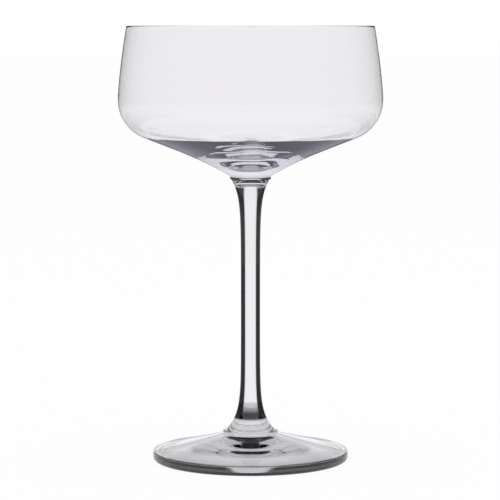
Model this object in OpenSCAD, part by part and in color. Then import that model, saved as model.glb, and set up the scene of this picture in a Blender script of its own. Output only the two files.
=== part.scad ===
// Coupe glass: a wide shallow bowl, a slender drawn stem and a conical foot,
// three round pieces of glass fused end to end on one upright axis.
// Millimetres, +Z up, origin in the middle of the circle on which the foot rests.

/* [Glass] */
// Height of the whole glass, from the table to the rim
glass_h = 165; // [150:1:185]
// Steps in each round stretch of a profile
arc_steps = 14; // [8:1:20]

/* [Bowl] */
// Widest diameter of the bowl, at its belly
belly_w = 100; // [94:0.5:110]
// Diameter of the rim, measured over the glass
rim_w = 93.6; // [88:0.2:94]
// Depth of the belly below the rim
belly_depth = 27.8; // [22:0.2:36]
// How late the side wall starts to lean in: 1 is straight from the belly, 2 is a full bow
wall_bow = 1.4; // [1.2:0.1:2]
// Radius of the turn from the side wall to the underside
turn_r = 15.3; // [12:0.1:18]
// Slope of the underside away from the stem, in degrees from level
under_slope = 21.5; // [20:0.5:24]
// Slope of the underside where it reaches the stem, in degrees from level
neck_slope = 30.5; // [27:0.5:36]
// Radius at which the underside starts to curve down, as a share of the belly's radius
neck_start_share = 0.53; // [0.4:0.01:0.7]
// Thickness of the glass at the rim
rim_t = 1; // [0.8:0.1:1.4]
// Thickness of the glass at the belly
wall_t = 1.3; // [1.2:0.1:1.8]
// Slope of the bowl's floor inside, in degrees from level
floor_slope = 16.5; // [12:0.5:18]
// Radius within which the floor rounds off, as a share of the belly's radius
floor_round_share = 0.28; // [0.15:0.01:0.45]

/* [Stem] */
// Diameter of the stem at its waist
waist_w = 7.3; // [6:0.1:10]
// Diameter of the fused joint between the bowl and the stem
top_joint_w = 15.6; // [13:0.2:18]
// Length over which the upper flare falls to about a third
top_flare = 5.9; // [4:0.1:9]
// Diameter of the fused joint between the stem and the foot
foot_joint_w = 21.2; // [17:0.2:24]
// Length over which the lower flare falls to about a third
foot_flare = 5.5; // [4:0.1:9]
// Radius of the small bead on each side of a fused joint
bead_r = 0.4; // [0.2:0.05:0.6]

/* [Foot] */
// Diameter of the foot
foot_w = 74.4; // [66:0.2:84]
// Height of the foot's outer edge
edge_h = 4; // [3:0.1:5]
// Height of the foot at its joint with the stem
foot_h = 10.6; // [9:0.1:14]
// How far the foot's top dips below a straight cone
foot_dip = 0.25; // [0.1:0.05:0.6]
// Radius on the foot's upper edge
edge_r = 0.8; // [0.3:0.05:1]
// Radius on the foot's lower edge
heel_r = 1.6; // [0.8:0.1:2]
// Width of the flat ring on which the glass rests
rest_w = 1.5; // [1:0.1:3]
// Rise of the hollow under the foot
hollow_rise = 4.5; // [1:0.1:5]

/* [Hidden] */
$fn = 144;
glass_colour = [0.86, 0.9, 0.92, 0.45];

belly_r = belly_w / 2;
belly_z = glass_h - belly_depth;
turn_c = [belly_r - turn_r, belly_z];
lip_r = rim_t / 2;
lip_z = glass_h - lip_r;
top_r = top_joint_w / 2;
foot_joint_r = foot_joint_w / 2;
waist_r = waist_w / 2;

// Bowl's underside: the turn ends on a cone, and the cone bends down to the joint
turn_end = turn_c + turn_r * [sin(under_slope), -cos(under_slope)];
neck_start_r = neck_start_share * belly_r;
neck_start_z = turn_end.y - (turn_end.x - neck_start_r) * tan(under_slope);
neck_r = (neck_start_r - top_r) / (sin(neck_slope) - sin(under_slope));
neck_c = [neck_start_r + neck_r * sin(under_slope), neck_start_z - neck_r * cos(under_slope)];
top_joint_z = neck_c.y + neck_r * cos(neck_slope) - bead_r;

// Bowl's floor: the inner turn ends on a flatter cone, which rounds off in the middle
inner_turn_r = turn_r - wall_t;
floor_start = turn_c + inner_turn_r * [sin(floor_slope), -cos(floor_slope)];
floor_round_r = floor_round_share * belly_r;
floor_round_z = floor_start.y - (floor_start.x - floor_round_r) * tan(floor_slope);
floor_arc_r = floor_round_r / sin(floor_slope);
floor_c = [0, floor_round_z + floor_arc_r * cos(floor_slope)];

// Points of an arc about c, from angle a0 to angle a1
function arc(c, r, a0, a1) =
    [for (i = [0:arc_steps]) let (a = a0 + (a1 - a0) * i / arc_steps) c + r * [cos(a), sin(a)]];

// How far up the side wall a height lies: 0 at the belly, 1 at the rim
function wall_share(z) = (z - belly_z) / (lip_z - belly_z);
function wall_r(z) = belly_r - (belly_w - rim_w) / 2 * pow(wall_share(z), wall_bow);
function wall_at(z) = wall_t + (rim_t - wall_t) * wall_share(z);
function wall_z(i) = belly_z + (lip_z - belly_z) * i / arc_steps;

// Stem's radius at a height: a waist, and a flare that dies away from each joint
function stem_r(z) = waist_r + (top_r - waist_r) * exp((z - top_joint_z) / top_flare)
    + (foot_joint_r - waist_r) * exp((foot_h - z) / foot_flare);

// Height of the foot's top at a radius
foot_r = foot_w / 2;
foot_span = foot_r - edge_r - foot_joint_r;
function foot_share(r) = (r - foot_joint_r) / foot_span;
function foot_z(r) = foot_h - bead_r - (foot_h - bead_r - edge_h) * foot_share(r)
    - 4 * foot_dip * foot_share(r) * (1 - foot_share(r));

// Hollow under the foot: one shallow arc from the resting ring up to the axis
rest_out_r = foot_r - heel_r;
rest_in_r = rest_out_r - rest_w;
hollow_arc_r = (rest_in_r * rest_in_r + hollow_rise * hollow_rise) / (2 * hollow_rise);
hollow_half = asin(rest_in_r / hollow_arc_r);

module bowl() {
    outer_wall = [for (i = [arc_steps:-1:0]) [wall_r(wall_z(i)), wall_z(i)]];
    turn = arc(turn_c, turn_r, 0, under_slope - 90);
    neck = arc(neck_c, neck_r, 90 + under_slope, 90 + neck_slope);
    joint = arc([top_r - bead_r, top_joint_z + bead_r], bead_r, 0, -90);
    floor_middle = arc(floor_c, floor_arc_r, -90, floor_slope - 90);
    inner_turn = arc(turn_c, inner_turn_r, floor_slope - 90, 0);
    inner_wall = [for (i = [1:arc_steps]) [wall_r(wall_z(i)) - wall_at(wall_z(i)), wall_z(i)]];
    lip = arc([wall_r(lip_z) - wall_at(lip_z) / 2, lip_z], wall_at(lip_z) / 2, 180, 0);
    color(glass_colour)
        rotate_extrude()
            polygon(concat(outer_wall, turn, neck, joint, [[0, top_joint_z]],
                floor_middle, inner_turn, inner_wall, lip));
}

module stem() {
    flare_steps = 4 * arc_steps;
    shaft_top = top_joint_z - 2 * bead_r;
    shaft_bottom = foot_h + 2 * bead_r;
    top_bead = arc([top_r - bead_r, top_joint_z - bead_r], bead_r, 90, -60);
    shaft = [for (i = [0:flare_steps])
        let (z = shaft_top + (shaft_bottom - shaft_top) * i / flare_steps) [stem_r(z), z]];
    foot_bead = arc([foot_joint_r - bead_r, foot_h + bead_r], bead_r, 60, -90);
    color(glass_colour)
        rotate_extrude()
            polygon(concat([[0, top_joint_z]], top_bead, shaft, foot_bead, [[0, foot_h]]));
}

module foot() {
    joint = arc([foot_joint_r - bead_r, foot_h - bead_r], bead_r, 90, 0);
    slope = [for (i = [1:arc_steps])
        let (r = foot_joint_r + foot_span * i / arc_steps) [r, foot_z(r)]];
    edge = arc([foot_r - edge_r, edge_h - edge_r], edge_r, 80, 0);
    heel = arc([rest_out_r, heel_r], heel_r, 0, -90);
    hollow = arc([0, hollow_rise - hollow_arc_r], hollow_arc_r, 90 - hollow_half, 90);
    color(glass_colour)
        rotate_extrude()
            polygon(concat([[0, foot_h]], joint, slope, edge, heel, hollow));
}

bowl();
stem();
foot();
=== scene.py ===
# %% [markdown]
# # A coupe glass on a white table
#
# A coupe is three round pieces of clear glass fused end to end: a wide shallow bowl, a
# drawn stem and a pressed conical foot. Clear glass has almost no colour of its own. What
# the eye reads as its shape is the way it bends the bright and dark parts of the room, so
# this lesson is about smooth outlines first, and then about what stands round the glass.

# %% Load the frame
import math

import bmesh
import bpy
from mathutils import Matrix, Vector


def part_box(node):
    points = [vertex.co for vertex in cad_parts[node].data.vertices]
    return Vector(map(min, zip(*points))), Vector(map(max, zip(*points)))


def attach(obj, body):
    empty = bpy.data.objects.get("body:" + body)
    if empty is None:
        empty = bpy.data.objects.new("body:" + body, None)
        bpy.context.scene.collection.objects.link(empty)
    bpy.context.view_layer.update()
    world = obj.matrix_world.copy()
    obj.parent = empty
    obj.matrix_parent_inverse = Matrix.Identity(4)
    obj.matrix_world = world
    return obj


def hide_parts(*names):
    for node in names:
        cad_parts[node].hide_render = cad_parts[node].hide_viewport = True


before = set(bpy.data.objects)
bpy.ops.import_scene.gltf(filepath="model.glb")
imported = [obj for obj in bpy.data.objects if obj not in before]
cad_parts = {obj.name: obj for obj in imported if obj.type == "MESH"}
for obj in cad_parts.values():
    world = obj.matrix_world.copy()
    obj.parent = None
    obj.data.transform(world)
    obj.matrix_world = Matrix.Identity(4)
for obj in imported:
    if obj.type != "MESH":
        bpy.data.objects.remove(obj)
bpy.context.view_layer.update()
MM = 0.001

# %% [markdown]
# ## Where each piece starts and ends
#
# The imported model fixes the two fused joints, the rim and the widest radii. They could be
# typed in again, but then a later change of the solids would leave this scene behind. They
# are read from the frame's boxes, so each dressed piece fills the solid it stands for.

# %% Heights and widest radii
bowl_high = Vector(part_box("bowl")[1])
stem_low, stem_high = (Vector(corner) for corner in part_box("stem"))
foot_low, foot_high = (Vector(corner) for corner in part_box("foot"))
rim_z = bowl_high.z
belly_r = bowl_high.x
top_joint_z = stem_high.z
foot_joint_z = stem_low.z
foot_joint_r = stem_high.x
foot_r = foot_high.x
table_z = foot_low.z
print("rim at", round(rim_z / MM, 1), "mm, fused joints at", round(top_joint_z / MM, 2), "and",
      round(foot_joint_z / MM, 2), "mm")

# %% [markdown]
# ## Drawing half an outline
#
# All three pieces are round, so half of a cross-section says all of one: a list of points,
# each a radius and a height. The points could be clicked along a picture, but a row made by
# hand is never quite smooth, and clear glass shows every flat as a kink in what is seen
# through it. Each round stretch is worked out as an arc of many short steps instead.

# %% Arcs
ARC_STEPS = 30
BEAD_STEPS = 12
BEAD_R = 0.4 * MM
QUARTER = math.pi / 2


def arc(centre, radius, start, end, steps=ARC_STEPS):
    """Points of an arc from one angle to another, in radians, about (radius, height)."""
    angles = [start + (end - start) * i / steps for i in range(steps + 1)]
    return [(centre[0] + radius * math.cos(a), centre[1] + radius * math.sin(a)) for a in angles]


print("a quarter turn has steps of", round(math.degrees(QUARTER) / ARC_STEPS, 1), "degrees")

# %% [markdown]
# ## Crisp corners
#
# The shading is smoothed along the whole outline, and that alone would smear light round a
# sharp corner, such as the rim of the resting ring. Sharp edges could be marked one by one.
# A point set close to each side of such a corner does it for every piece at once, and the
# smoothing then has no room to spread.

# %% Clean an outline
SHARP = math.radians(12)
GUARD = 0.03 * MM
GUARD_ROOM = 3 * GUARD
SAME_POINT = 0.002 * MM


def without_doubles(points):
    """The same outline, with points that fall on each other taken as one."""
    kept = points[:1]
    for point in points[1:]:
        if math.dist(point, kept[-1]) > SAME_POINT:
            kept.append(point)
    return kept


def guard_corners(points):
    """Add a point close to each side of a sharp corner."""
    guarded = [points[0]]
    for before, here, after in zip(points, points[1:], points[2:]):
        turn_in = Vector(here) - Vector(before)
        turn_out = Vector(after) - Vector(here)
        sharp = abs(turn_in.angle_signed(turn_out)) > SHARP
        if sharp and turn_in.length > GUARD_ROOM:
            guarded.append(tuple(Vector(here) - turn_in.normalized() * GUARD))
        guarded.append(here)
        if sharp and turn_out.length > GUARD_ROOM:
            guarded.append(tuple(Vector(here) + turn_out.normalized() * GUARD))
    return guarded + [points[-1]]


def clean(name, points):
    """An outline ready to turn."""
    ready = guard_corners(without_doubles(points))
    print(name, "outline:", len(ready), "points")
    return ready


# %% [markdown]
# ## The bowl
#
# The bowl is a bubble of hot glass that a glassblower opens out with a paddle while the
# stem spins. Its wall leans in towards a thin fire-polished lip, rolls round at the belly,
# runs in on a cone and bends down to the stem. A shell could be made by giving a single
# surface a thickness, but a real bowl is thin at the lip and thick over the stem. So the
# outside and the inside are drawn as two lines of their own that meet in a round lip.

# %% Sizes of the bowl
RIM_R = 46.8 * MM
RIM_T = 1.0 * MM
BELLY_DEPTH = 27.8 * MM
WALL_T = 1.3 * MM
WALL_BOW = 1.4
TURN_R = 15.3 * MM
UNDER_SLOPE = math.radians(21.5)
NECK_SLOPE = math.radians(30.5)
NECK_START_R = 0.53 * belly_r
TOP_JOINT_R = 7.8 * MM
FLOOR_SLOPE = math.radians(16.5)
FLOOR_ROUND_R = 0.28 * belly_r
belly_z = rim_z - BELLY_DEPTH
lip_z = rim_z - RIM_T / 2
turn_centre = (belly_r - TURN_R, belly_z)
print("belly", round(2 * belly_r / MM, 1), "mm wide, rim", round(2 * RIM_R / MM, 1), "mm wide")


# %% The bowl's side wall
def wall_r(share):
    """Outer radius of the wall: share is 0 at the belly and 1 at the lip."""
    return belly_r - (belly_r - RIM_R) * share ** WALL_BOW


def wall_t(share):
    """Thickness of the wall, which thins towards the lip."""
    return WALL_T + (RIM_T - WALL_T) * share


wall_shares = [i / ARC_STEPS for i in range(ARC_STEPS + 1)]
wall_outside = [(wall_r(s), belly_z + (lip_z - belly_z) * s) for s in wall_shares]
wall_inside = [(wall_r(s) - wall_t(s), belly_z + (lip_z - belly_z) * s) for s in wall_shares]
print("half way up the wall is", round(wall_t(0.5) / MM, 2), "mm thick")


# %% The bowl's outside, from the joint up to the lip
def bowl_outside():
    """The bead of the joint, the bend of the neck, the turn of the belly and the wall."""
    turn = arc(turn_centre, TURN_R, UNDER_SLOPE - QUARTER, 0)
    neck_start_z = turn[0][1] - (turn[0][0] - NECK_START_R) * math.tan(UNDER_SLOPE)
    neck_r = (NECK_START_R - TOP_JOINT_R) / (math.sin(NECK_SLOPE) - math.sin(UNDER_SLOPE))
    neck_centre = (NECK_START_R + neck_r * math.sin(UNDER_SLOPE),
                   neck_start_z - neck_r * math.cos(UNDER_SLOPE))
    neck = arc(neck_centre, neck_r, QUARTER + NECK_SLOPE, QUARTER + UNDER_SLOPE)
    bead_centre = (TOP_JOINT_R - BEAD_R, top_joint_z + BEAD_R)
    bead = arc(bead_centre, BEAD_R, -QUARTER, 0, BEAD_STEPS)
    return [(0, top_joint_z)] + bead + neck + turn + wall_outside


# %% The bowl's inside, from the lip down to the floor
def bowl_inside():
    """The round lip, the wall, the inner turn and the floor that rounds off in the middle."""
    lip = arc((RIM_R - RIM_T / 2, lip_z), RIM_T / 2, 0, math.pi)
    inner_turn = arc(turn_centre, TURN_R - WALL_T, 0, FLOOR_SLOPE - QUARTER)
    turn_end_r, turn_end_z = inner_turn[-1]
    round_z = turn_end_z - (turn_end_r - FLOOR_ROUND_R) * math.tan(FLOOR_SLOPE)
    floor_r = FLOOR_ROUND_R / math.sin(FLOOR_SLOPE)
    floor_centre = (0, round_z + floor_r * math.cos(FLOOR_SLOPE))
    floor = arc(floor_centre, floor_r, FLOOR_SLOPE - QUARTER, -QUARTER)
    return lip + wall_inside[::-1] + inner_turn + floor


bowl_outline = clean("bowl", bowl_outside() + bowl_inside())

# %% [markdown]
# ## The stem
#
# A drawn stem is pulled from the hot underside of the bowl, so it is thinnest in its middle
# and swells where it was held. It could be a tube with two loose flares, but then a ring of
# light would show where they meet. One formula gives the whole radius: a waist, and a flare
# at each end that dies away evenly. A small bead stands at each fused joint.

# %% The stem's radius at a height
WAIST_R = 3.65 * MM
TOP_FLARE = 5.9 * MM
FOOT_FLARE = 5.5 * MM


def shaft_r(z):
    """The waist with a flare that falls to about a third over each flare's length."""
    upper = (TOP_JOINT_R - WAIST_R) * math.exp((z - top_joint_z) / TOP_FLARE)
    lower = (foot_joint_r - WAIST_R) * math.exp((foot_joint_z - z) / FOOT_FLARE)
    return WAIST_R + upper + lower


print("stem half way up:", round(2 * shaft_r((foot_joint_z + top_joint_z) / 2) / MM, 2), "mm wide")

# %% The stem's outline
BEAD_TURN = math.pi / 3
SHAFT_STEPS = 4 * ARC_STEPS


def stem_line():
    """From the middle of the lower joint out, up the shaft and in to the upper joint."""
    low, high = foot_joint_z + 2 * BEAD_R, top_joint_z - 2 * BEAD_R
    heights = [low + (high - low) * i / SHAFT_STEPS for i in range(SHAFT_STEPS + 1)]
    shaft = [(shaft_r(z), z) for z in heights]
    low_centre = (foot_joint_r - BEAD_R, foot_joint_z + BEAD_R)
    low_bead = arc(low_centre, BEAD_R, -QUARTER, BEAD_TURN, BEAD_STEPS)
    top_centre = (TOP_JOINT_R - BEAD_R, top_joint_z - BEAD_R)
    top_bead = arc(top_centre, BEAD_R, -BEAD_TURN, QUARTER, BEAD_STEPS)
    return [(0, foot_joint_z)] + low_bead + shaft + top_bead + [(0, top_joint_z)]


stem_outline = clean("stem", stem_line())

# %% [markdown]
# ## The foot
#
# The foot is a gather of glass pressed into a low cone. It stands on a narrow flat ring,
# and the rest of its underside is hollow, so that it doesn't rock and so that the rough end
# of the gather clears the table. A flat underside would be simpler, but this hollow works
# as a lens: it makes the dark patch that is seen through the cone just below the stem.

# %% Sizes of the foot
EDGE_H = 4.0 * MM
EDGE_R = 0.8 * MM
EDGE_TURN = math.radians(80)
FOOT_DIP = 0.25 * MM
HEEL_R = 1.6 * MM
HEEL_STEPS = 16
REST_W = 1.5 * MM
HOLLOW_RISE = 4.5 * MM
rest_out_r = foot_r - HEEL_R
rest_in_r = rest_out_r - REST_W
hollow_r = (rest_in_r ** 2 + HOLLOW_RISE ** 2) / (2 * HOLLOW_RISE)
print("resting ring", round(2 * rest_in_r / MM, 1), "to", round(2 * rest_out_r / MM, 1),
      "mm across, hollow arc of", round(hollow_r / MM, 1), "mm")


# %% The foot's outline
def cone_point(share):
    """The cone's top side, which dips a little: share is 0 at the joint, 1 at the edge."""
    top_z = foot_joint_z - BEAD_R
    fall = (top_z - table_z - EDGE_H) * share + 4 * FOOT_DIP * share * (1 - share)
    return (foot_joint_r + (foot_r - EDGE_R - foot_joint_r) * share, top_z - fall)


def foot_line():
    """From the middle of the hollow out to the heel, up the edge and in to the joint."""
    hollow_half = math.asin(rest_in_r / hollow_r)
    hollow = arc((0, table_z + HOLLOW_RISE - hollow_r), hollow_r, QUARTER,
                 QUARTER - hollow_half, 2 * ARC_STEPS)
    heel = arc((rest_out_r, table_z + HEEL_R), HEEL_R, -QUARTER, 0, HEEL_STEPS)
    edge = arc((foot_r - EDGE_R, table_z + EDGE_H - EDGE_R), EDGE_R, 0, EDGE_TURN, BEAD_STEPS)
    cone = [cone_point(i / ARC_STEPS) for i in range(ARC_STEPS, -1, -1)]
    bead_centre = (foot_joint_r - BEAD_R, foot_joint_z - BEAD_R)
    bead = arc(bead_centre, BEAD_R, 0, QUARTER, BEAD_STEPS)
    return hollow + heel + edge + cone + bead + [(0, foot_joint_z)]


foot_outline = clean("foot", foot_line())

# %% [markdown]
# ## Words for building node trees
#
# Materials and Geometry Nodes are both trees of nodes joined by links, and written out one
# call at a time they are long and hard to read. Three small helpers keep them short: one
# adds a node, one feeds a socket with a number or a link, and one does a sum. The next ones
# mix colours and find places. Blender's Mix node has sockets of the same names for numbers,
# for vectors and for colours, so the ones for colours are picked by their numbers.

# %% Helpers for node trees
def add(tree, kind, **settings):
    """Add a node and set its plain settings."""
    made = tree.nodes.new(kind)
    for key, value in settings.items():
        setattr(made, key, value)
    return made


def feed(tree, socket, value):
    """Link a socket to another node's output, or give it a number or colour."""
    if isinstance(value, bpy.types.NodeSocket):
        tree.links.new(value, socket)
    else:
        socket.default_value = value


def maths(tree, operation, *values):
    """The result of a Math node."""
    made = add(tree, "ShaderNodeMath", operation=operation)
    for socket, value in zip(made.inputs, values):
        feed(tree, socket, value)
    return made.outputs[0]


# %% Helpers for colours and places
MIX_ONE = 6
MIX_OTHER = 7
MIXED = 2


def stepped(tree, value, stops):
    """A grey ramp: each stop is a place from 0 to 1 and how bright it is there."""
    made = add(tree, "ShaderNodeValToRGB")
    for element, (place, grey) in zip(made.color_ramp.elements, (stops[0], stops[-1])):
        element.position = place
        element.color = (grey, grey, grey, 1)
    for place, grey in stops[1:-1]:
        made.color_ramp.elements.new(place).color = (grey, grey, grey, 1)
    feed(tree, made.inputs["Fac"], value)
    return made.outputs["Color"]


def blend_colours(tree, kind, share, one, other):
    """Two colours mixed, multiplied or the lighter of the two."""
    made = add(tree, "ShaderNodeMix", data_type="RGBA", blend_type=kind)
    feed(tree, made.inputs["Factor"], share)
    feed(tree, made.inputs[MIX_ONE], one)
    feed(tree, made.inputs[MIX_OTHER], other)
    return made.outputs[MIXED]


def soft_step(tree, value, start, end, before, after):
    """Goes smoothly from one value to another as the input passes a stretch."""
    made = add(tree, "ShaderNodeMapRange", interpolation_type="SMOOTHSTEP")
    names = ("Value", "From Min", "From Max", "To Min", "To Max")
    for name, given in zip(names, (value, start, end, before, after)):
        feed(tree, made.inputs[name], given)
    return made.outputs[0]


def own_place(tree):
    """Where a point lies on its own piece, as X, Y and Z in metres."""
    split = add(tree, "ShaderNodeSeparateXYZ")
    feed(tree, split.inputs[0], add(tree, "ShaderNodeTexCoord").outputs["Object"])
    return split.outputs


def from_axis(tree, place):
    """How far a point lies from the upright axis."""
    flat = add(tree, "ShaderNodeCombineXYZ")
    feed(tree, flat.inputs["X"], place["X"])
    feed(tree, flat.inputs["Y"], place["Y"])
    length = add(tree, "ShaderNodeVectorMath", operation="LENGTH")
    feed(tree, length.inputs[0], flat.outputs[0])
    return length.outputs["Value"]


# %% [markdown]
# ## Clear glass
#
# Two shaders can make glass. The Glass shader bends and mirrors light and nothing more. The
# Principled one with full transmission does the same, and it also keeps its colour and
# smoothness in sockets that an exported file can carry, so it is used here. The surface has
# no roughness, because fire polishing leaves glass as smooth as a liquid. Soda-lime glass
# bends light by 1.51. It is faintly grey, and the colour deepens with the length of the way
# through it, so thick places look darker. That part is an absorption in its volume.

# %% The clear glass itself
GLASS_BEND = 1.51
BLOWN_TINT = (0.957, 0.948, 0.962)
BLOWN_DYE = (0, 0.02, 0.13)
BLOWN_DYE_STRENGTH = 6
DRAWN_TINT = (0.915, 0.893, 0.922)
DRAWN_DYE = (0, 0, 0.05)
DRAWN_DYE_STRENGTH = 3
PRESSED_TINT = (0.88, 0.868, 0.9)
PRESSED_DYE = (0, 0.02, 0.1)
PRESSED_DYE_STRENGTH = 5


def clear_glass(name, tint, dye, dye_strength):
    """Smooth glass with a faint tint at its surface and a little more in its depth."""
    material = bpy.data.materials.new(name)
    material.use_nodes = True
    tree = material.node_tree
    shader = tree.nodes["Principled BSDF"]
    shader.inputs["Base Color"].default_value = (*tint, 1)
    shader.inputs["Roughness"].default_value = 0
    shader.inputs["IOR"].default_value = GLASS_BEND
    shader.inputs["Transmission Weight"].default_value = 1
    depth = add(tree, "ShaderNodeVolumeAbsorption")
    depth.inputs["Color"].default_value = (*dye, 1)
    depth.inputs["Density"].default_value = dye_strength
    feed(tree, tree.nodes["Material Output"].inputs["Volume"], depth.outputs["Volume"])
    return material


blown_glass = clear_glass("blown_glass", BLOWN_TINT, BLOWN_DYE, BLOWN_DYE_STRENGTH)
drawn_glass = clear_glass("drawn_glass", DRAWN_TINT, DRAWN_DYE, DRAWN_DYE_STRENGTH)
pressed_glass = clear_glass("pressed_glass", PRESSED_TINT, PRESSED_DYE, PRESSED_DYE_STRENGTH)
print("glass:", blown_glass.name, drawn_glass.name, pressed_glass.name)

# %% [markdown]
# ## The ripple of hot shaping
#
# No blown surface is perfectly even. A paddle, a mould and gravity leave waves as long as a
# fingertip and thinner than a hair, and they make the reflections in a bowl wander. They
# could be modelled, but they are far too shallow for a mesh. A large soft noise drives a
# bump instead. On the bowl it stays in the underside, where the wood of the block touched
# the glass. The fire-polished wall above it is left clean. The foot has a shallower ripple
# from its mould, and the drawn stem has next to none.

# %% Ripple in the surface
WAVES_PER_METRE = 60
PRESSED_WAVES_PER_METRE = 80
BLOWN_RIPPLE = 0.5 * MM
DRAWN_RIPPLE = 0.001 * MM
PRESSED_RIPPLE = 0.03 * MM
RIPPLE_TOP = belly_z - 10.2 * MM
RIPPLE_FADE = 8 * MM


def ripple(material, waves, height, top=None):
    """Give glass a slow ripple of a height, over the whole piece or only below a level."""
    tree = material.node_tree
    noise = add(tree, "ShaderNodeTexNoise")
    noise.inputs["Scale"].default_value = waves
    noise.inputs["Detail"].default_value = 1
    place = add(tree, "ShaderNodeTexCoord")
    feed(tree, noise.inputs["Vector"], place.outputs["Object"])
    wave = noise.outputs["Fac"]
    if top is not None:
        below = soft_step(tree, own_place(tree)["Z"], top - RIPPLE_FADE, top, 1, 0)
        wave = maths(tree, "MULTIPLY", wave, below)
    bump = add(tree, "ShaderNodeBump")
    bump.inputs["Strength"].default_value = 1
    bump.inputs["Distance"].default_value = height
    feed(tree, bump.inputs["Height"], wave)
    feed(tree, tree.nodes["Principled BSDF"].inputs["Normal"], bump.outputs["Normal"])
    print(material.name, "has a ripple of", round(height / MM, 3), "mm")


ripple(blown_glass, WAVES_PER_METRE, BLOWN_RIPPLE, RIPPLE_TOP)
ripple(drawn_glass, WAVES_PER_METRE, DRAWN_RIPPLE)
ripple(pressed_glass, PRESSED_WAVES_PER_METRE, PRESSED_RIPPLE)

# %% [markdown]
# ## Dark edges
#
# In a white studio, glass is drawn by its edges. Where the surface turns away from the eye,
# it bends in light from far to the side, and there the room is dark. Bigger black cards
# would do it, as a photographer does, but they also reach the middle of the pieces and
# darken what stays light. So the dark edges are painted shade in the glass's tint instead:
# Layer Weight knows how far the surface turns away, and the tint is painted darker there,
# once, where the light path enters the glass. Inside the glass, and in most of what the
# pieces mirror of each other, the plain tint holds.

# %% Painted shade by how far a surface turns away
def within(tree, value, low, high, fade):
    """1 between two limits and 0 outside them, with soft ends."""
    above = soft_step(tree, value, low - fade, low + fade, 0, 1)
    below = soft_step(tree, value, high - fade, high + fade, 1, 0)
    return maths(tree, "MULTIPLY", above, below)


def turned_away(tree, stops):
    """Painted shade, a grey by how far the surface turns away: 0 faces the eye, 1 is seen along
    it.
    """
    return stepped(tree, add(tree, "ShaderNodeLayerWeight").outputs["Facing"], stops)


def in_mirrors(tree):
    """1 for what the other pieces mirror of this one."""
    return add(tree, "ShaderNodeLightPath").outputs["Is Reflection Ray"]


def on_entry(tree, plain_in_mirrors=1):
    """1 where a path enters from outside, less by how plain the piece stays in mirrors."""
    plain = maths(tree, "MULTIPLY", in_mirrors(tree), plain_in_mirrors)
    leaving = add(tree, "ShaderNodeNewGeometry").outputs["Backfacing"]
    return maths(tree, "SUBTRACT", 1, maths(tree, "MAXIMUM", leaving, plain))


def darken(material, grey, share):
    """Paint shade into a glass's tint: multiply it by a grey where the share is above 0."""
    tree = material.node_tree
    colour = tree.nodes["Principled BSDF"].inputs["Base Color"]
    tint = tuple(colour.default_value)
    dark = blend_colours(tree, "MULTIPLY", 1, tint, grey)
    feed(tree, colour, blend_colours(tree, "MIX", share, tint, dark))
    print(material.name, "has dark edges, in", len(tree.nodes), "nodes")


# %% Painted shade at the edges of the bowl
# painted shade: the bowl's tint darkens where its surface turns away from the eye
BOWL_EDGE_SHADE = [(0.0, 1.0), (0.4, 0.99), (0.6, 0.96), (0.8, 0.9), (0.95, 0.7), (1.0, 0.6)]
bowl_tree = blown_glass.node_tree
darken(blown_glass, turned_away(bowl_tree, BOWL_EDGE_SHADE), on_entry(bowl_tree))

# %% [markdown]
# ## The stem's dark sides
#
# A solid rod is a strong lens: only its middle shows the white behind it, and both sides
# turn nearly black. Here that dark is painted shade in the stem's tint, by how far the
# surface turns away. The flares bend light less evenly, so the painted dark sides stop
# short of the joints and leave their bright rings free. In the lower flare the dark closes
# over the middle too: the bright core turns grey step by step, and it ends in a dark ring
# above the joint. Light through that flare comes from under the foot at a steep angle,
# where this stage has nothing dark, so a ramp over the height paints the same grey as
# painted shade. The foot's cone mirrors the lowest part of the stem just below the joint.
# That mirror image is wholly dark, and so it is painted nearly black on its own, a painted
# dark reflection, while the bowl above mirrors the stem as plain glass.

# %% Painted dark sides of the stem
# painted shade: the stem's tint darkens where its surface turns away, in two bands
STEM_EDGE_SHADE = [(0.0, 1.0), (0.12, 0.95), (0.15, 0.6), (0.19, 0.001), (0.6, 0.001),
             (0.85, 0.01), (1.0, 0.02)]
SHAFT_BAND = (foot_joint_z + 5.3 * MM, top_joint_z - 3.6 * MM)
TOP_BAND = (top_joint_z - 1.2 * MM, rim_z)
STEM_FADE = 0.5 * MM

stem_tree = drawn_glass.node_tree
stem_z = own_place(stem_tree)["Z"]
stem_bands = maths(stem_tree, "ADD", within(stem_tree, stem_z, *SHAFT_BAND, STEM_FADE),
                   within(stem_tree, stem_z, *TOP_BAND, STEM_FADE))
print("dark sides from", *(round(z / MM, 1) for z in SHAFT_BAND), "mm above the table")

# %% The painted grey shade in the middle of the lower flare
FLARE_BAND = (foot_joint_z + 4.9 * MM, foot_joint_z + 12.3 * MM)
# painted shade: a ramp over the height greys the lower flare's tint
FLARE_SHADE = [(0.0, 0.014), (0.41, 0.014), (0.45, 0.04), (0.51, 0.12), (0.59, 0.22),
              (0.7, 0.42), (0.84, 0.42), (0.91, 0.55), (1.0, 1.0)]

flare_height = FLARE_BAND[1] - FLARE_BAND[0]
up_flare = maths(stem_tree, "SUBTRACT", stem_z, FLARE_BAND[0])
flare_share = maths(stem_tree, "DIVIDE", up_flare, flare_height)
stem_side_shade = blend_colours(stem_tree, "MULTIPLY", 1, turned_away(stem_tree, STEM_EDGE_SHADE),
                           stepped(stem_tree, flare_share, FLARE_SHADE))
print("grey middle over", round(flare_height / MM, 1), "mm of the lower flare")

# %% The stem painted dark in the mirror of the foot, plain in the mirror of the bowl
LOW_END = (foot_joint_z + 7.4 * MM, foot_joint_z + 9.4 * MM)
PLAIN_FROM = (40 * MM, 80 * MM)
# painted dark reflection: the stem's low end turns nearly black in mirror images
NEARLY_BLACK = (0.001, 0.001, 0.001, 1)

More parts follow.
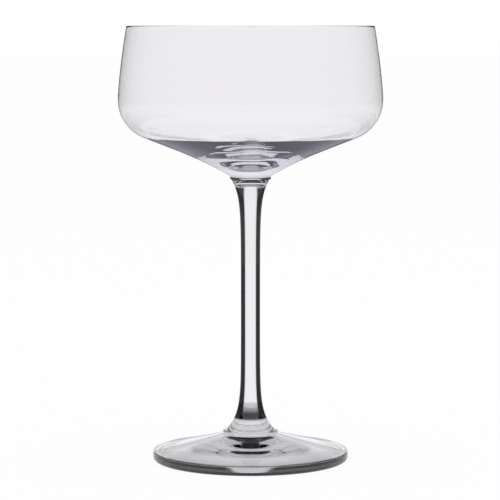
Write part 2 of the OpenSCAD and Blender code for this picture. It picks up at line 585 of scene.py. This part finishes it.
low_end = soft_step(stem_tree, stem_z, *LOW_END, 1, 0)
low_dark_in_mirrors = maths(stem_tree, "MULTIPLY", low_end, in_mirrors(stem_tree))
plain_in_mirrors = soft_step(stem_tree, stem_z, *PLAIN_FROM, 0, 1)
stem_dark = maths(stem_tree, "MAXIMUM", stem_bands, low_dark_in_mirrors)
stem_share = maths(stem_tree, "MULTIPLY", stem_dark, on_entry(stem_tree, plain_in_mirrors))
stem_shade = blend_colours(stem_tree, "MIX", low_dark_in_mirrors, stem_side_shade, NEARLY_BLACK)
darken(drawn_glass, stem_shade, stem_share)

# %% [markdown]
# ## The foot's edge
#
# The upright edge of the foot is the darkest line of the whole glass, with two fine lighter
# lines in it, because its rounded corners work as two thin lenses. The dark line is painted
# shade in the foot's tint, by how far the surface turns away. Those lenses are under a
# millimetre wide, and a render of this size can't follow light through them without noise.
# A ramp over the height of the edge paints the tint a little lighter at the same two
# levels: two painted lines of light.

# %% Painted shade on the foot's edge, with two painted lines of light
# painted shade: the edge's tint darkens where its surface turns away
FOOT_EDGE_SHADE = [(0.0, 1.0), (0.026, 1.0), (0.036, 0.05), (0.045, 0.0005), (0.6, 0.0005),
             (0.85, 0.001), (1.0, 0.002)]
# painted light: two lighter lines over the height of the edge
EDGE_LIGHT_LINES = [(0.0, 0.0), (0.3, 0.0), (0.4, 0.02), (0.52, 0.02), (0.62, 0.0), (0.82, 0.0),
              (0.86, 0.2), (0.885, 0.2), (0.92, 0.0), (1.0, 0.0)]
EDGE_BAND = (table_z - 1 * MM, table_z + EDGE_H - 0.2 * MM)
EDGE_FADE = 0.15 * MM
EDGE_IN_R = foot_r - 2 * MM
EDGE_IN_FADE = 0.2 * MM

foot_tree = pressed_glass.node_tree
foot_place = own_place(foot_tree)
edge_share = maths(foot_tree, "DIVIDE", foot_place["Z"], EDGE_H)
edge_light_lines = stepped(foot_tree, edge_share, EDGE_LIGHT_LINES)
edge_shade = blend_colours(foot_tree, "LIGHTEN", 1, turned_away(foot_tree, FOOT_EDGE_SHADE), edge_light_lines)
edge_level = within(foot_tree, foot_place["Z"], *EDGE_BAND, EDGE_FADE)
edge_out = soft_step(foot_tree, from_axis(foot_tree, foot_place), EDGE_IN_R - EDGE_IN_FADE,
                     EDGE_IN_R + EDGE_IN_FADE, 0, 1)
edge_band = maths(foot_tree, "MULTIPLY", edge_level, edge_out)
edge_entry = maths(foot_tree, "MULTIPLY", edge_band, on_entry(foot_tree))
darken(pressed_glass, edge_shade, edge_entry)

# %% [markdown]
# ## Fused joints
#
# The three pieces were joined while they were soft, so there is no surface between them any
# more: light runs straight through. Each piece still has to be a closed solid of its own.
# The pieces could be left open at the joints, but an open shell of glass has no inside. So
# the faces that meet in a joint get a material that neither bends nor mirrors.

# %% The material inside a joint
fused_joint = bpy.data.materials.new("fused_joint")
fused_joint.use_nodes = True
joint_tree = fused_joint.node_tree
joint_tree.nodes.remove(joint_tree.nodes["Principled BSDF"])
see_through = add(joint_tree, "ShaderNodeBsdfTransparent")
feed(joint_tree, joint_tree.nodes["Material Output"].inputs["Surface"], see_through.outputs[0])
print("joint material:", fused_joint.name)

# %% [markdown]
# ## Turning an outline into a piece
#
# A wet finger on a wheel, a lathe and a glassblower's bench all do the same: they sweep one
# outline round an axis. Blender's Spin tool or Screw modifier would do it too. A Geometry
# Nodes tree shows each step, and all three pieces use it with inputs of their own. It rolls
# up a flat grid: one direction of the grid goes round the axis, and the other one follows
# the outline point by point.

# %% The tree and its inputs
turning = bpy.data.node_groups.new("turn_outline", "GeometryNodeTree")
TURNING_INPUTS = [
    ("Outline", "NodeSocketGeometry"),
    ("Steps round", "NodeSocketInt"),
    ("Glass", "NodeSocketMaterial"),
    ("Joint", "NodeSocketMaterial"),
    ("Lower joint height", "NodeSocketFloat"),
    ("Upper joint height", "NodeSocketFloat"),
]
for label, kind in TURNING_INPUTS:
    turning.interface.new_socket(label, in_out="INPUT", socket_type=kind)
turning.interface.new_socket("Turned glass", in_out="OUTPUT", socket_type="NodeSocketGeometry")
given = add(turning, "NodeGroupInput").outputs
print("inputs:", [label for label, kind in TURNING_INPUTS])


# %% A flat grid with a row for each point of the outline
def position_parts(tree):
    """X, Y and Z of the point that the tree is working on."""
    split = add(tree, "ShaderNodeSeparateXYZ")
    feed(tree, split.inputs[0], add(tree, "GeometryNodeInputPosition").outputs[0])
    return split.outputs


GRID_SIDE = 1
HALF_GRID = GRID_SIDE / 2

size = add(turning, "GeometryNodeAttributeDomainSize", component="MESH")
feed(turning, size.inputs["Geometry"], given["Outline"])
point_count = size.outputs["Point Count"]
grid = add(turning, "GeometryNodeMeshGrid")
grid.inputs["Size X"].default_value = GRID_SIDE
grid.inputs["Size Y"].default_value = GRID_SIDE
feed(turning, grid.inputs["Vertices X"], maths(turning, "ADD", given["Steps round"], 1))
feed(turning, grid.inputs["Vertices Y"], point_count)
print("the grid reaches", HALF_GRID, "to each side of the origin")

# %% Each grid point's angle, and its place on the outline
on_grid = position_parts(turning)
turn_share = maths(turning, "ADD", on_grid["X"], HALF_GRID)
angle = maths(turning, "MULTIPLY", turn_share, 2 * math.pi)
along = maths(turning, "ADD", on_grid["Y"], HALF_GRID)
last_point = maths(turning, "SUBTRACT", point_count, 1)
pick = add(turning, "GeometryNodeSampleIndex", data_type="FLOAT_VECTOR", domain="POINT")
feed(turning, pick.inputs["Geometry"], given["Outline"])
feed(turning, pick.inputs["Value"], add(turning, "GeometryNodeInputPosition").outputs[0])
feed(turning, pick.inputs["Index"],
     maths(turning, "ROUND", maths(turning, "MULTIPLY", along, last_point)))
on_outline = add(turning, "ShaderNodeSeparateXYZ")
feed(turning, on_outline.inputs[0], pick.outputs["Value"])
outline_r, outline_z = on_outline.outputs["X"], on_outline.outputs["Z"]
print("the outline is read by point number")

# %% Roll the grid round the axis
rolled = add(turning, "ShaderNodeCombineXYZ")
feed(turning, rolled.inputs["X"],
     maths(turning, "MULTIPLY", outline_r, maths(turning, "COSINE", angle)))
feed(turning, rolled.inputs["Y"],
     maths(turning, "MULTIPLY", outline_r, maths(turning, "SINE", angle)))
feed(turning, rolled.inputs["Z"], outline_z)
move = add(turning, "GeometryNodeSetPosition")
feed(turning, move.inputs["Geometry"], grid.outputs["Mesh"])
feed(turning, move.inputs["Position"], rolled.outputs[0])
print("radius and angle become X and Y")

# %% Close the seam and the poles, and smooth the shading
SEAM_GAP = 0.0005 * MM
close = add(turning, "GeometryNodeMergeByDistance")
close.inputs["Distance"].default_value = SEAM_GAP
feed(turning, close.inputs["Geometry"], move.outputs["Geometry"])
smooth = add(turning, "GeometryNodeSetShadeSmooth")
feed(turning, smooth.inputs["Geometry"], close.outputs["Geometry"])
real = add(turning, "GeometryNodeRealizeInstances")
feed(turning, real.inputs["Geometry"], smooth.outputs["Geometry"])
print("points closer than", SEAM_GAP / MM, "mm become one")

# %% Glass outside, the joint material on the two joint levels
LEVEL_GAP = 0.001 * MM
all_glass = add(turning, "GeometryNodeSetMaterial")
feed(turning, all_glass.inputs["Geometry"], real.outputs["Geometry"])
feed(turning, all_glass.inputs["Material"], given["Glass"])
face_z = position_parts(turning)["Z"]
at_lower = maths(turning, "COMPARE", face_z, given["Lower joint height"], LEVEL_GAP)
at_upper = maths(turning, "COMPARE", face_z, given["Upper joint height"], LEVEL_GAP)
joints = add(turning, "GeometryNodeSetMaterial")
feed(turning, joints.inputs["Geometry"], all_glass.outputs["Geometry"])
feed(turning, joints.inputs["Selection"], maths(turning, "ADD", at_lower, at_upper))
feed(turning, joints.inputs["Material"], given["Joint"])
result = add(turning, "NodeGroupOutput")
feed(turning, result.inputs["Turned glass"], joints.outputs["Geometry"])
print("the tree has", len(turning.nodes), "nodes")

# %% [markdown]
# ## The three pieces
#
# Each outline goes into Blender as a bare line of edges with the tree as its modifier. The
# modifier could stay live, but an exported piece has to be a plain mesh, so the result is
# taken out as one and the line is thrown away. Then every face is turned outwards, because
# glass has to know which side is air. Around the axis there are 384 steps, which is what it
# takes until the belly's outline shows no corners in the thin dark line of its edge.

# %% Set the tree's inputs, and turn the faces outwards
STEPS_ROUND = 384


def set_inputs(modifier, values):
    """Set a modifier's inputs by the identifiers of their sockets."""
    for item in modifier.node_group.interface.items_tree:
        if item.in_out == "INPUT" and item.name in values:
            modifier[item.identifier] = values[item.name]


def face_outwards(mesh):
    """Turn all faces outwards, and print what the closed piece measures."""
    shape = bmesh.new()
    shape.from_mesh(mesh)
    bmesh.ops.recalc_face_normals(shape, faces=shape.faces)
    if shape.calc_volume(signed=True) < 0:
        bmesh.ops.reverse_faces(shape, faces=shape.faces)
    open_edges = sum(1 for edge in shape.edges if not edge.is_manifold)
    print(mesh.name, "has", len(shape.faces), "faces,", open_edges, "open edges and",
          round(shape.calc_volume() / MM ** 3), "cubic mm")
    shape.to_mesh(mesh)
    shape.free()


# %% Turn one piece
def turned(name, outline, glass):
    """A closed piece of glass from half its outline."""
    line = bpy.data.meshes.new(name + "_line")
    edges = [(i, i + 1) for i in range(len(outline) - 1)]
    line.from_pydata([(r, 0, z) for r, z in outline], edges, [])
    holder = bpy.data.objects.new(name + "_line", line)
    bpy.context.scene.collection.objects.link(holder)
    modifier = holder.modifiers.new("turn", "NODES")
    modifier.node_group = turning
    set_inputs(modifier, {
        "Steps round": STEPS_ROUND,
        "Glass": glass,
        "Joint": fused_joint,
        "Lower joint height": foot_joint_z,
        "Upper joint height": top_joint_z,
    })
    evaluated = holder.evaluated_get(bpy.context.evaluated_depsgraph_get())
    solid = bpy.data.meshes.new_from_object(evaluated)
    solid.name = name
    bpy.data.objects.remove(holder)
    face_outwards(solid)
    piece = bpy.data.objects.new(name, solid)
    bpy.context.scene.collection.objects.link(piece)
    return piece


# %% The bowl, the stem and the foot
bowl_glass = turned("bowl_glass", bowl_outline, blown_glass)
stem_glass = turned("stem_glass", stem_outline, drawn_glass)
foot_glass = turned("foot_glass", foot_outline, pressed_glass)

# %% [markdown]
# ## Standing in for the solids
#
# A glass has nothing that moves, so all three pieces ride on the one body of the frame. The
# plain solids could stay and take the new materials, but their 144 flat sides would show as
# stripes through clear glass. Each turned piece replaces its solid, in the same place.

# %% Hand the pieces to the frame
for piece, node in ((bowl_glass, "bowl"), (stem_glass, "stem"), (foot_glass, "foot")):
    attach(piece, "root")
    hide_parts(node)
    print(piece.name, "replaces", node)

# %% [markdown]
# ## The white table
#
# The photograph's ground is plain white with hardly a shadow. A lamp strong enough for that
# would burn out the glass, so the table's own glow makes the white, for the eye, for mirror
# images and for what is seen through the glass. A small part of it stays an ordinary matt
# surface that takes the shadow. Under the foot, glass gathers light in some rings and keeps
# it from others. Tracing such rings takes many thousand samples, so a ramp over the radius
# holds them, and only paths that come through the glass see it. From here on, sizes
# are in metres, as a studio is measured, unless MM stands beside them.

# %% Helpers for the stage
RING_STEPS = 96
WHITE = (1, 1, 1, 1)


def ring(radius, z):
    """Points of a level circle round the glass."""
    angles = [2 * math.pi * i / RING_STEPS for i in range(RING_STEPS)]
    return [(radius * math.cos(a), radius * math.sin(a), z) for a in angles]


def stage_piece(name, points, faces, material):
    """A mesh that belongs to the studio and not to the glass."""
    mesh = bpy.data.meshes.new(name)
    mesh.from_pydata(points, [], faces)
    mesh.materials.append(material)
    made = bpy.data.objects.new(name, mesh)
    bpy.context.scene.collection.objects.link(made)
    return made


def seen_white(tree):
    """1 for the eye, for mirror images and for what is seen through glass."""
    path = add(tree, "ShaderNodeLightPath").outputs
    eye_or_through = maths(tree, "MAXIMUM", path["Is Camera Ray"], path["Is Transmission Ray"])
    return maths(tree, "MAXIMUM", eye_or_through, path["Is Glossy Ray"])


# %% The matt side of the table
MATT_WHITE = 0.9
MATT_ROUGHNESS = 0.9

white_table = bpy.data.materials.new("white_table")
white_table.use_nodes = True
table_tree = white_table.node_tree
matt = table_tree.nodes["Principled BSDF"]
matt.inputs["Base Color"].default_value = (MATT_WHITE, MATT_WHITE, MATT_WHITE, 1)
matt.inputs["Roughness"].default_value = MATT_ROUGHNESS
matt.inputs["Specular IOR Level"].default_value = 0
print("table:", white_table.name)

# %% The painted rings of light and shade under the foot
UNDER_FOOT_REACH = 100 * MM
# painted light and shade: a ramp over the radius, seen only through the glass
UNDER_FOOT = [(0.0, 0.6), (0.05, 0.8), (0.12, 0.9), (0.2, 0.85), (0.3, 0.7),
              (0.36, 0.5), (0.4, 1.0)]
UNDER_FOOT_END = UNDER_FOOT[-1][0] * UNDER_FOOT_REACH

table_r = from_axis(table_tree, own_place(table_tree))
painted_rings = stepped(table_tree, maths(table_tree, "DIVIDE", table_r, UNDER_FOOT_REACH),
                     UNDER_FOOT)
through_glass = add(table_tree, "ShaderNodeLightPath").outputs["Is Transmission Ray"]
white_with_painted_rings = blend_colours(table_tree, "MIX", through_glass, WHITE, painted_rings)
print("greyest under the resting ring, white from", round(UNDER_FOOT_END / MM), "mm out")

# %% The table's glow, and the table itself
GLOW_SHARE = 0.93
TABLE_R = 12

glow = add(table_tree, "ShaderNodeEmission")
glow.inputs["Strength"].default_value = 1
feed(table_tree, glow.inputs["Color"], white_with_painted_rings)
both = add(table_tree, "ShaderNodeMixShader")
feed(table_tree, both.inputs["Fac"],
     maths(table_tree, "MULTIPLY", seen_white(table_tree), GLOW_SHARE))
feed(table_tree, both.inputs[1], matt.outputs["BSDF"])
feed(table_tree, both.inputs[2], glow.outputs["Emission"])
feed(table_tree, table_tree.nodes["Material Output"].inputs["Surface"], both.outputs[0])
stage_piece("table", ring(TABLE_R, 0), [tuple(range(RING_STEPS))], white_table)
print("the table is", 2 * TABLE_R, "m across")

# %% [markdown]
# ## Dark cards
#
# A photographer sets black cards just outside the picture, because glass that mirrors only
# white disappears. Here a dark collar stands round the bowl and draws the dark crescent of
# its lower turn. Its lower edge is lighter, as a card's edge is where light spills round
# it. Below it is a grey ring, and two black flags stand low at the sides for the foot. Real
# cards would also dim the light. These are seen by mirror images alone, so each one works
# on the reflections and on nothing else.

# %% Cards that only mirror images see
def card(name, points, faces, brightness):
    """A card of one brightness that only mirror images see."""
    material = bpy.data.materials.new(name)
    material.use_nodes = True
    tree = material.node_tree
    tree.nodes.remove(tree.nodes["Principled BSDF"])
    glow = add(tree, "ShaderNodeEmission")
    glow.inputs["Strength"].default_value = brightness
    feed(tree, tree.nodes["Material Output"].inputs["Surface"], glow.outputs["Emission"])
    made = stage_piece(name, points, faces, material)
    made.visible_camera = False
    made.visible_diffuse = False
    made.visible_transmission = False
    made.visible_shadow = False
    print(name, "has a brightness of", brightness)
    return made


def ring_card(name, low, high, brightness):
    """A card all round the glass, between two circles of (radius, height)."""
    points = ring(*low) + ring(*high)
    after = [(i + 1) % RING_STEPS for i in range(RING_STEPS)]
    faces = [(i, after[i], RING_STEPS + after[i], RING_STEPS + i) for i in range(RING_STEPS)]
    return card(name, points, faces, brightness)


# %% The collar round the bowl, and the grey ring below it
COLLAR_R = 0.25
COLLAR_LOW = 0.085
COLLAR_HIGH = 0.24
COLLAR_BLACK = 0.02
COLLAR_SPILL = 0.6
SPILL_REACH = 0.045
GREY_RING_LOW = 0.05
GREY_RING = 0.3

collar = ring_card("collar", (COLLAR_R, COLLAR_LOW), (COLLAR_R, COLLAR_HIGH), COLLAR_BLACK)
collar_tree = collar.data.materials[0].node_tree
spill = add(collar_tree, "ShaderNodeMapRange")
spill.inputs["From Min"].default_value = COLLAR_LOW
spill.inputs["From Max"].default_value = COLLAR_LOW + SPILL_REACH
spill.inputs["To Min"].default_value = COLLAR_SPILL
spill.inputs["To Max"].default_value = COLLAR_BLACK
feed(collar_tree, spill.inputs["Value"], own_place(collar_tree)["Z"])
feed(collar_tree, collar_tree.nodes["Emission"].inputs["Strength"], spill.outputs[0])
ring_card("grey_ring", (COLLAR_R, GREY_RING_LOW), (COLLAR_R, COLLAR_LOW), GREY_RING)

# %% Two black flags low at the sides
FLAG_START = 65
FLAG_REACH = 85
FLAG_STEPS = 12
FLAG_LOW = 0.0005
FLAG_TOP = 0.05
FLAG_BLACK = 0.1


def flag(name, side):
    """An upright bent card on the left (-1) or the right (1), counted from the front."""
    above = FLAG_STEPS + 1
    angles = [math.radians(FLAG_START + FLAG_REACH * i / FLAG_STEPS) for i in range(above)]
    points = [(side * COLLAR_R * math.sin(a), -COLLAR_R * math.cos(a), z)
              for z in (FLAG_LOW, FLAG_TOP) for a in angles]
    faces = [(i, i + 1, above + i + 1, above + i) for i in range(FLAG_STEPS)]
    return card(name, points, faces, FLAG_BLACK)


flag("left_flag", -1)
flag("right_flag", 1)

# %% [markdown]
# ## Velvet on the table
#
# From the height of the rim, the foot's top mirrors the far table at a low angle, and over
# plain white it would turn as white as the ground. A studio lays something greyer there,
# outside the picture. This ring of dim bluish velvet is again seen in mirror images alone,
# and its blue is what gives the cone its cool cast.

# %% The velvet ring
VELVET_Z = 0.0004
VELVET_IN = 0.06
VELVET_OUT = 2.5
VELVET_GREY = 0.6
VELVET_COLOUR = (0.97, 0.95, 1.14, 1)

velvet = ring_card("velvet", (VELVET_IN, VELVET_Z), (VELVET_OUT, VELVET_Z), VELVET_GREY)
velvet_glow = velvet.data.materials[0].node_tree.nodes["Emission"]
velvet_glow.inputs["Color"].default_value = VELVET_COLOUR

# %% [markdown]
# ## A white ceiling
#
# A path of light that is caught in the thick glass of a joint gets fainter at each bounce,
# and in the end it is as good as black. Blender stops it after a set number of bounces, but
# a stopped path still sees the world behind everything, and the joints would shine. It
# doesn't see a surface any more. So a ceiling as white as the world hangs over the glass:
# fresh paths see no difference, and worn-out paths go dark as they should.

# %% The ceiling
CEILING_R = 2.5
CEILING_Z = 0.9
CEILING_MIDDLE_R = 0.001
CEILING_WHITE = 1

ceiling = ring_card("ceiling", (CEILING_R, CEILING_Z), (CEILING_MIDDLE_R, CEILING_Z),
                    CEILING_WHITE)
ceiling.visible_transmission = True

# %% [markdown]
# ## The white room and its lamp
#
# The walls are as white as the table, for the same three kinds of path, and a little dimmer
# as light on matt things. The only lamp is a large soft one overhead, which gives the table
# its faint shadow. It could be a bright window, but a window mirrors in glass as a square,
# and the photograph shows none, so the lamp is hidden from mirror images.

# %% The room
ROOM_FILL = 0.9
WALL_WHITE = 1

room = bpy.data.worlds.new("white_room")
bpy.context.scene.world = room
room.use_nodes = True
room_tree = room.node_tree
fill = room_tree.nodes["Background"]
fill.inputs["Color"].default_value = WHITE
fill.inputs["Strength"].default_value = ROOM_FILL
walls = add(room_tree, "ShaderNodeBackground")
walls.inputs["Color"].default_value = WHITE
walls.inputs["Strength"].default_value = WALL_WHITE
fill_or_walls = add(room_tree, "ShaderNodeMixShader")
feed(room_tree, fill_or_walls.inputs["Fac"], seen_white(room_tree))
feed(room_tree, fill_or_walls.inputs[1], fill.outputs[0])
feed(room_tree, fill_or_walls.inputs[2], walls.outputs[0])
feed(room_tree, room_tree.nodes["World Output"].inputs["Surface"], fill_or_walls.outputs[0])
print("room:", room.name)

# %% The lamp
LAMP_SIZE = 0.8
LAMP_POWER = 2
LAMP_HEIGHT = 1.4

lamp_data = bpy.data.lights.new("overhead", "AREA")
lamp_data.size = LAMP_SIZE
lamp_data.energy = LAMP_POWER
lamp = bpy.data.objects.new("overhead", lamp_data)
lamp.location = (0, 0, LAMP_HEIGHT)
lamp.visible_glossy = False
lamp.visible_transmission = False
bpy.context.scene.collection.objects.link(lamp)
print("lamp of", LAMP_POWER, "W at", LAMP_HEIGHT, "m")

# %% [markdown]
# ## How often light may bounce
#
# A path through a bowl crosses four surfaces or more, and in its thick floor it is mirrored
# inside the glass again and again. Blender's usual limit ends such paths early and leaves
# black spots. The limit for bends is raised far enough for all of them, and so is the one
# for the see-through faces inside the joints. The limit for mirroring is kept at nine,
# where the paths caught in the turn of the bowl fade to the grey of the photograph, as they
# do in glass that is never perfectly clear.

# %% Limits for the paths of light
MOST_IN_ALL = 32
MOST_MIRRORED = 9
MOST_BENT = 24
MOST_JOINTS = 24

cycles = bpy.context.scene.cycles
cycles.max_bounces = MOST_IN_ALL
cycles.glossy_bounces = MOST_MIRRORED
cycles.transmission_bounces = MOST_BENT
cycles.transparent_max_bounces = MOST_JOINTS
print("bends up to", cycles.transmission_bounces, "and mirrors up to", cycles.glossy_bounces)

# %% [markdown]
# ## The camera
#
# The photograph looks level with the rim: its front and back edges nearly fall on one line,
# while the foot shows a wide oval. That fixes the camera's height and, with the width of
# the oval, its distance. The camera is tilted down to put the horizon in the row where the
# rim is, and not shifted, so that it can be moved round the glass for other views.

# %% The camera at the photograph's angle
CAMERA_AWAY = 0.935
CAMERA_OVER_RIM = 1.35 * MM
FOCAL_PIXELS = 2475
PICTURE_PIXELS = 500
HORIZON_ROW = 22.2
AXIS_COLUMN = 250.5
SENSOR = 36
SEEN_FROM = 0.01
SEEN_TO = 50

camera_data = bpy.data.cameras.new("camera")
camera_data.sensor_width = SENSOR
camera_data.lens = SENSOR * FOCAL_PIXELS / PICTURE_PIXELS
camera_data.clip_start = SEEN_FROM
camera_data.clip_end = SEEN_TO
camera = bpy.data.objects.new("camera", camera_data)
aside = (PICTURE_PIXELS / 2 - AXIS_COLUMN) / FOCAL_PIXELS * CAMERA_AWAY
tilt = math.atan((PICTURE_PIXELS / 2 - HORIZON_ROW) / FOCAL_PIXELS)
camera.location = (aside, -CAMERA_AWAY, rim_z + CAMERA_OVER_RIM)
camera.rotation_euler = (QUARTER - tilt, 0, 0)
bpy.context.scene.collection.objects.link(camera)
bpy.context.scene.camera = camera
bpy.context.scene.view_settings.view_transform = "Standard"
print("lens of", round(camera_data.lens, 1), "mm, tilted down", round(math.degrees(tilt), 2),
      "degrees")
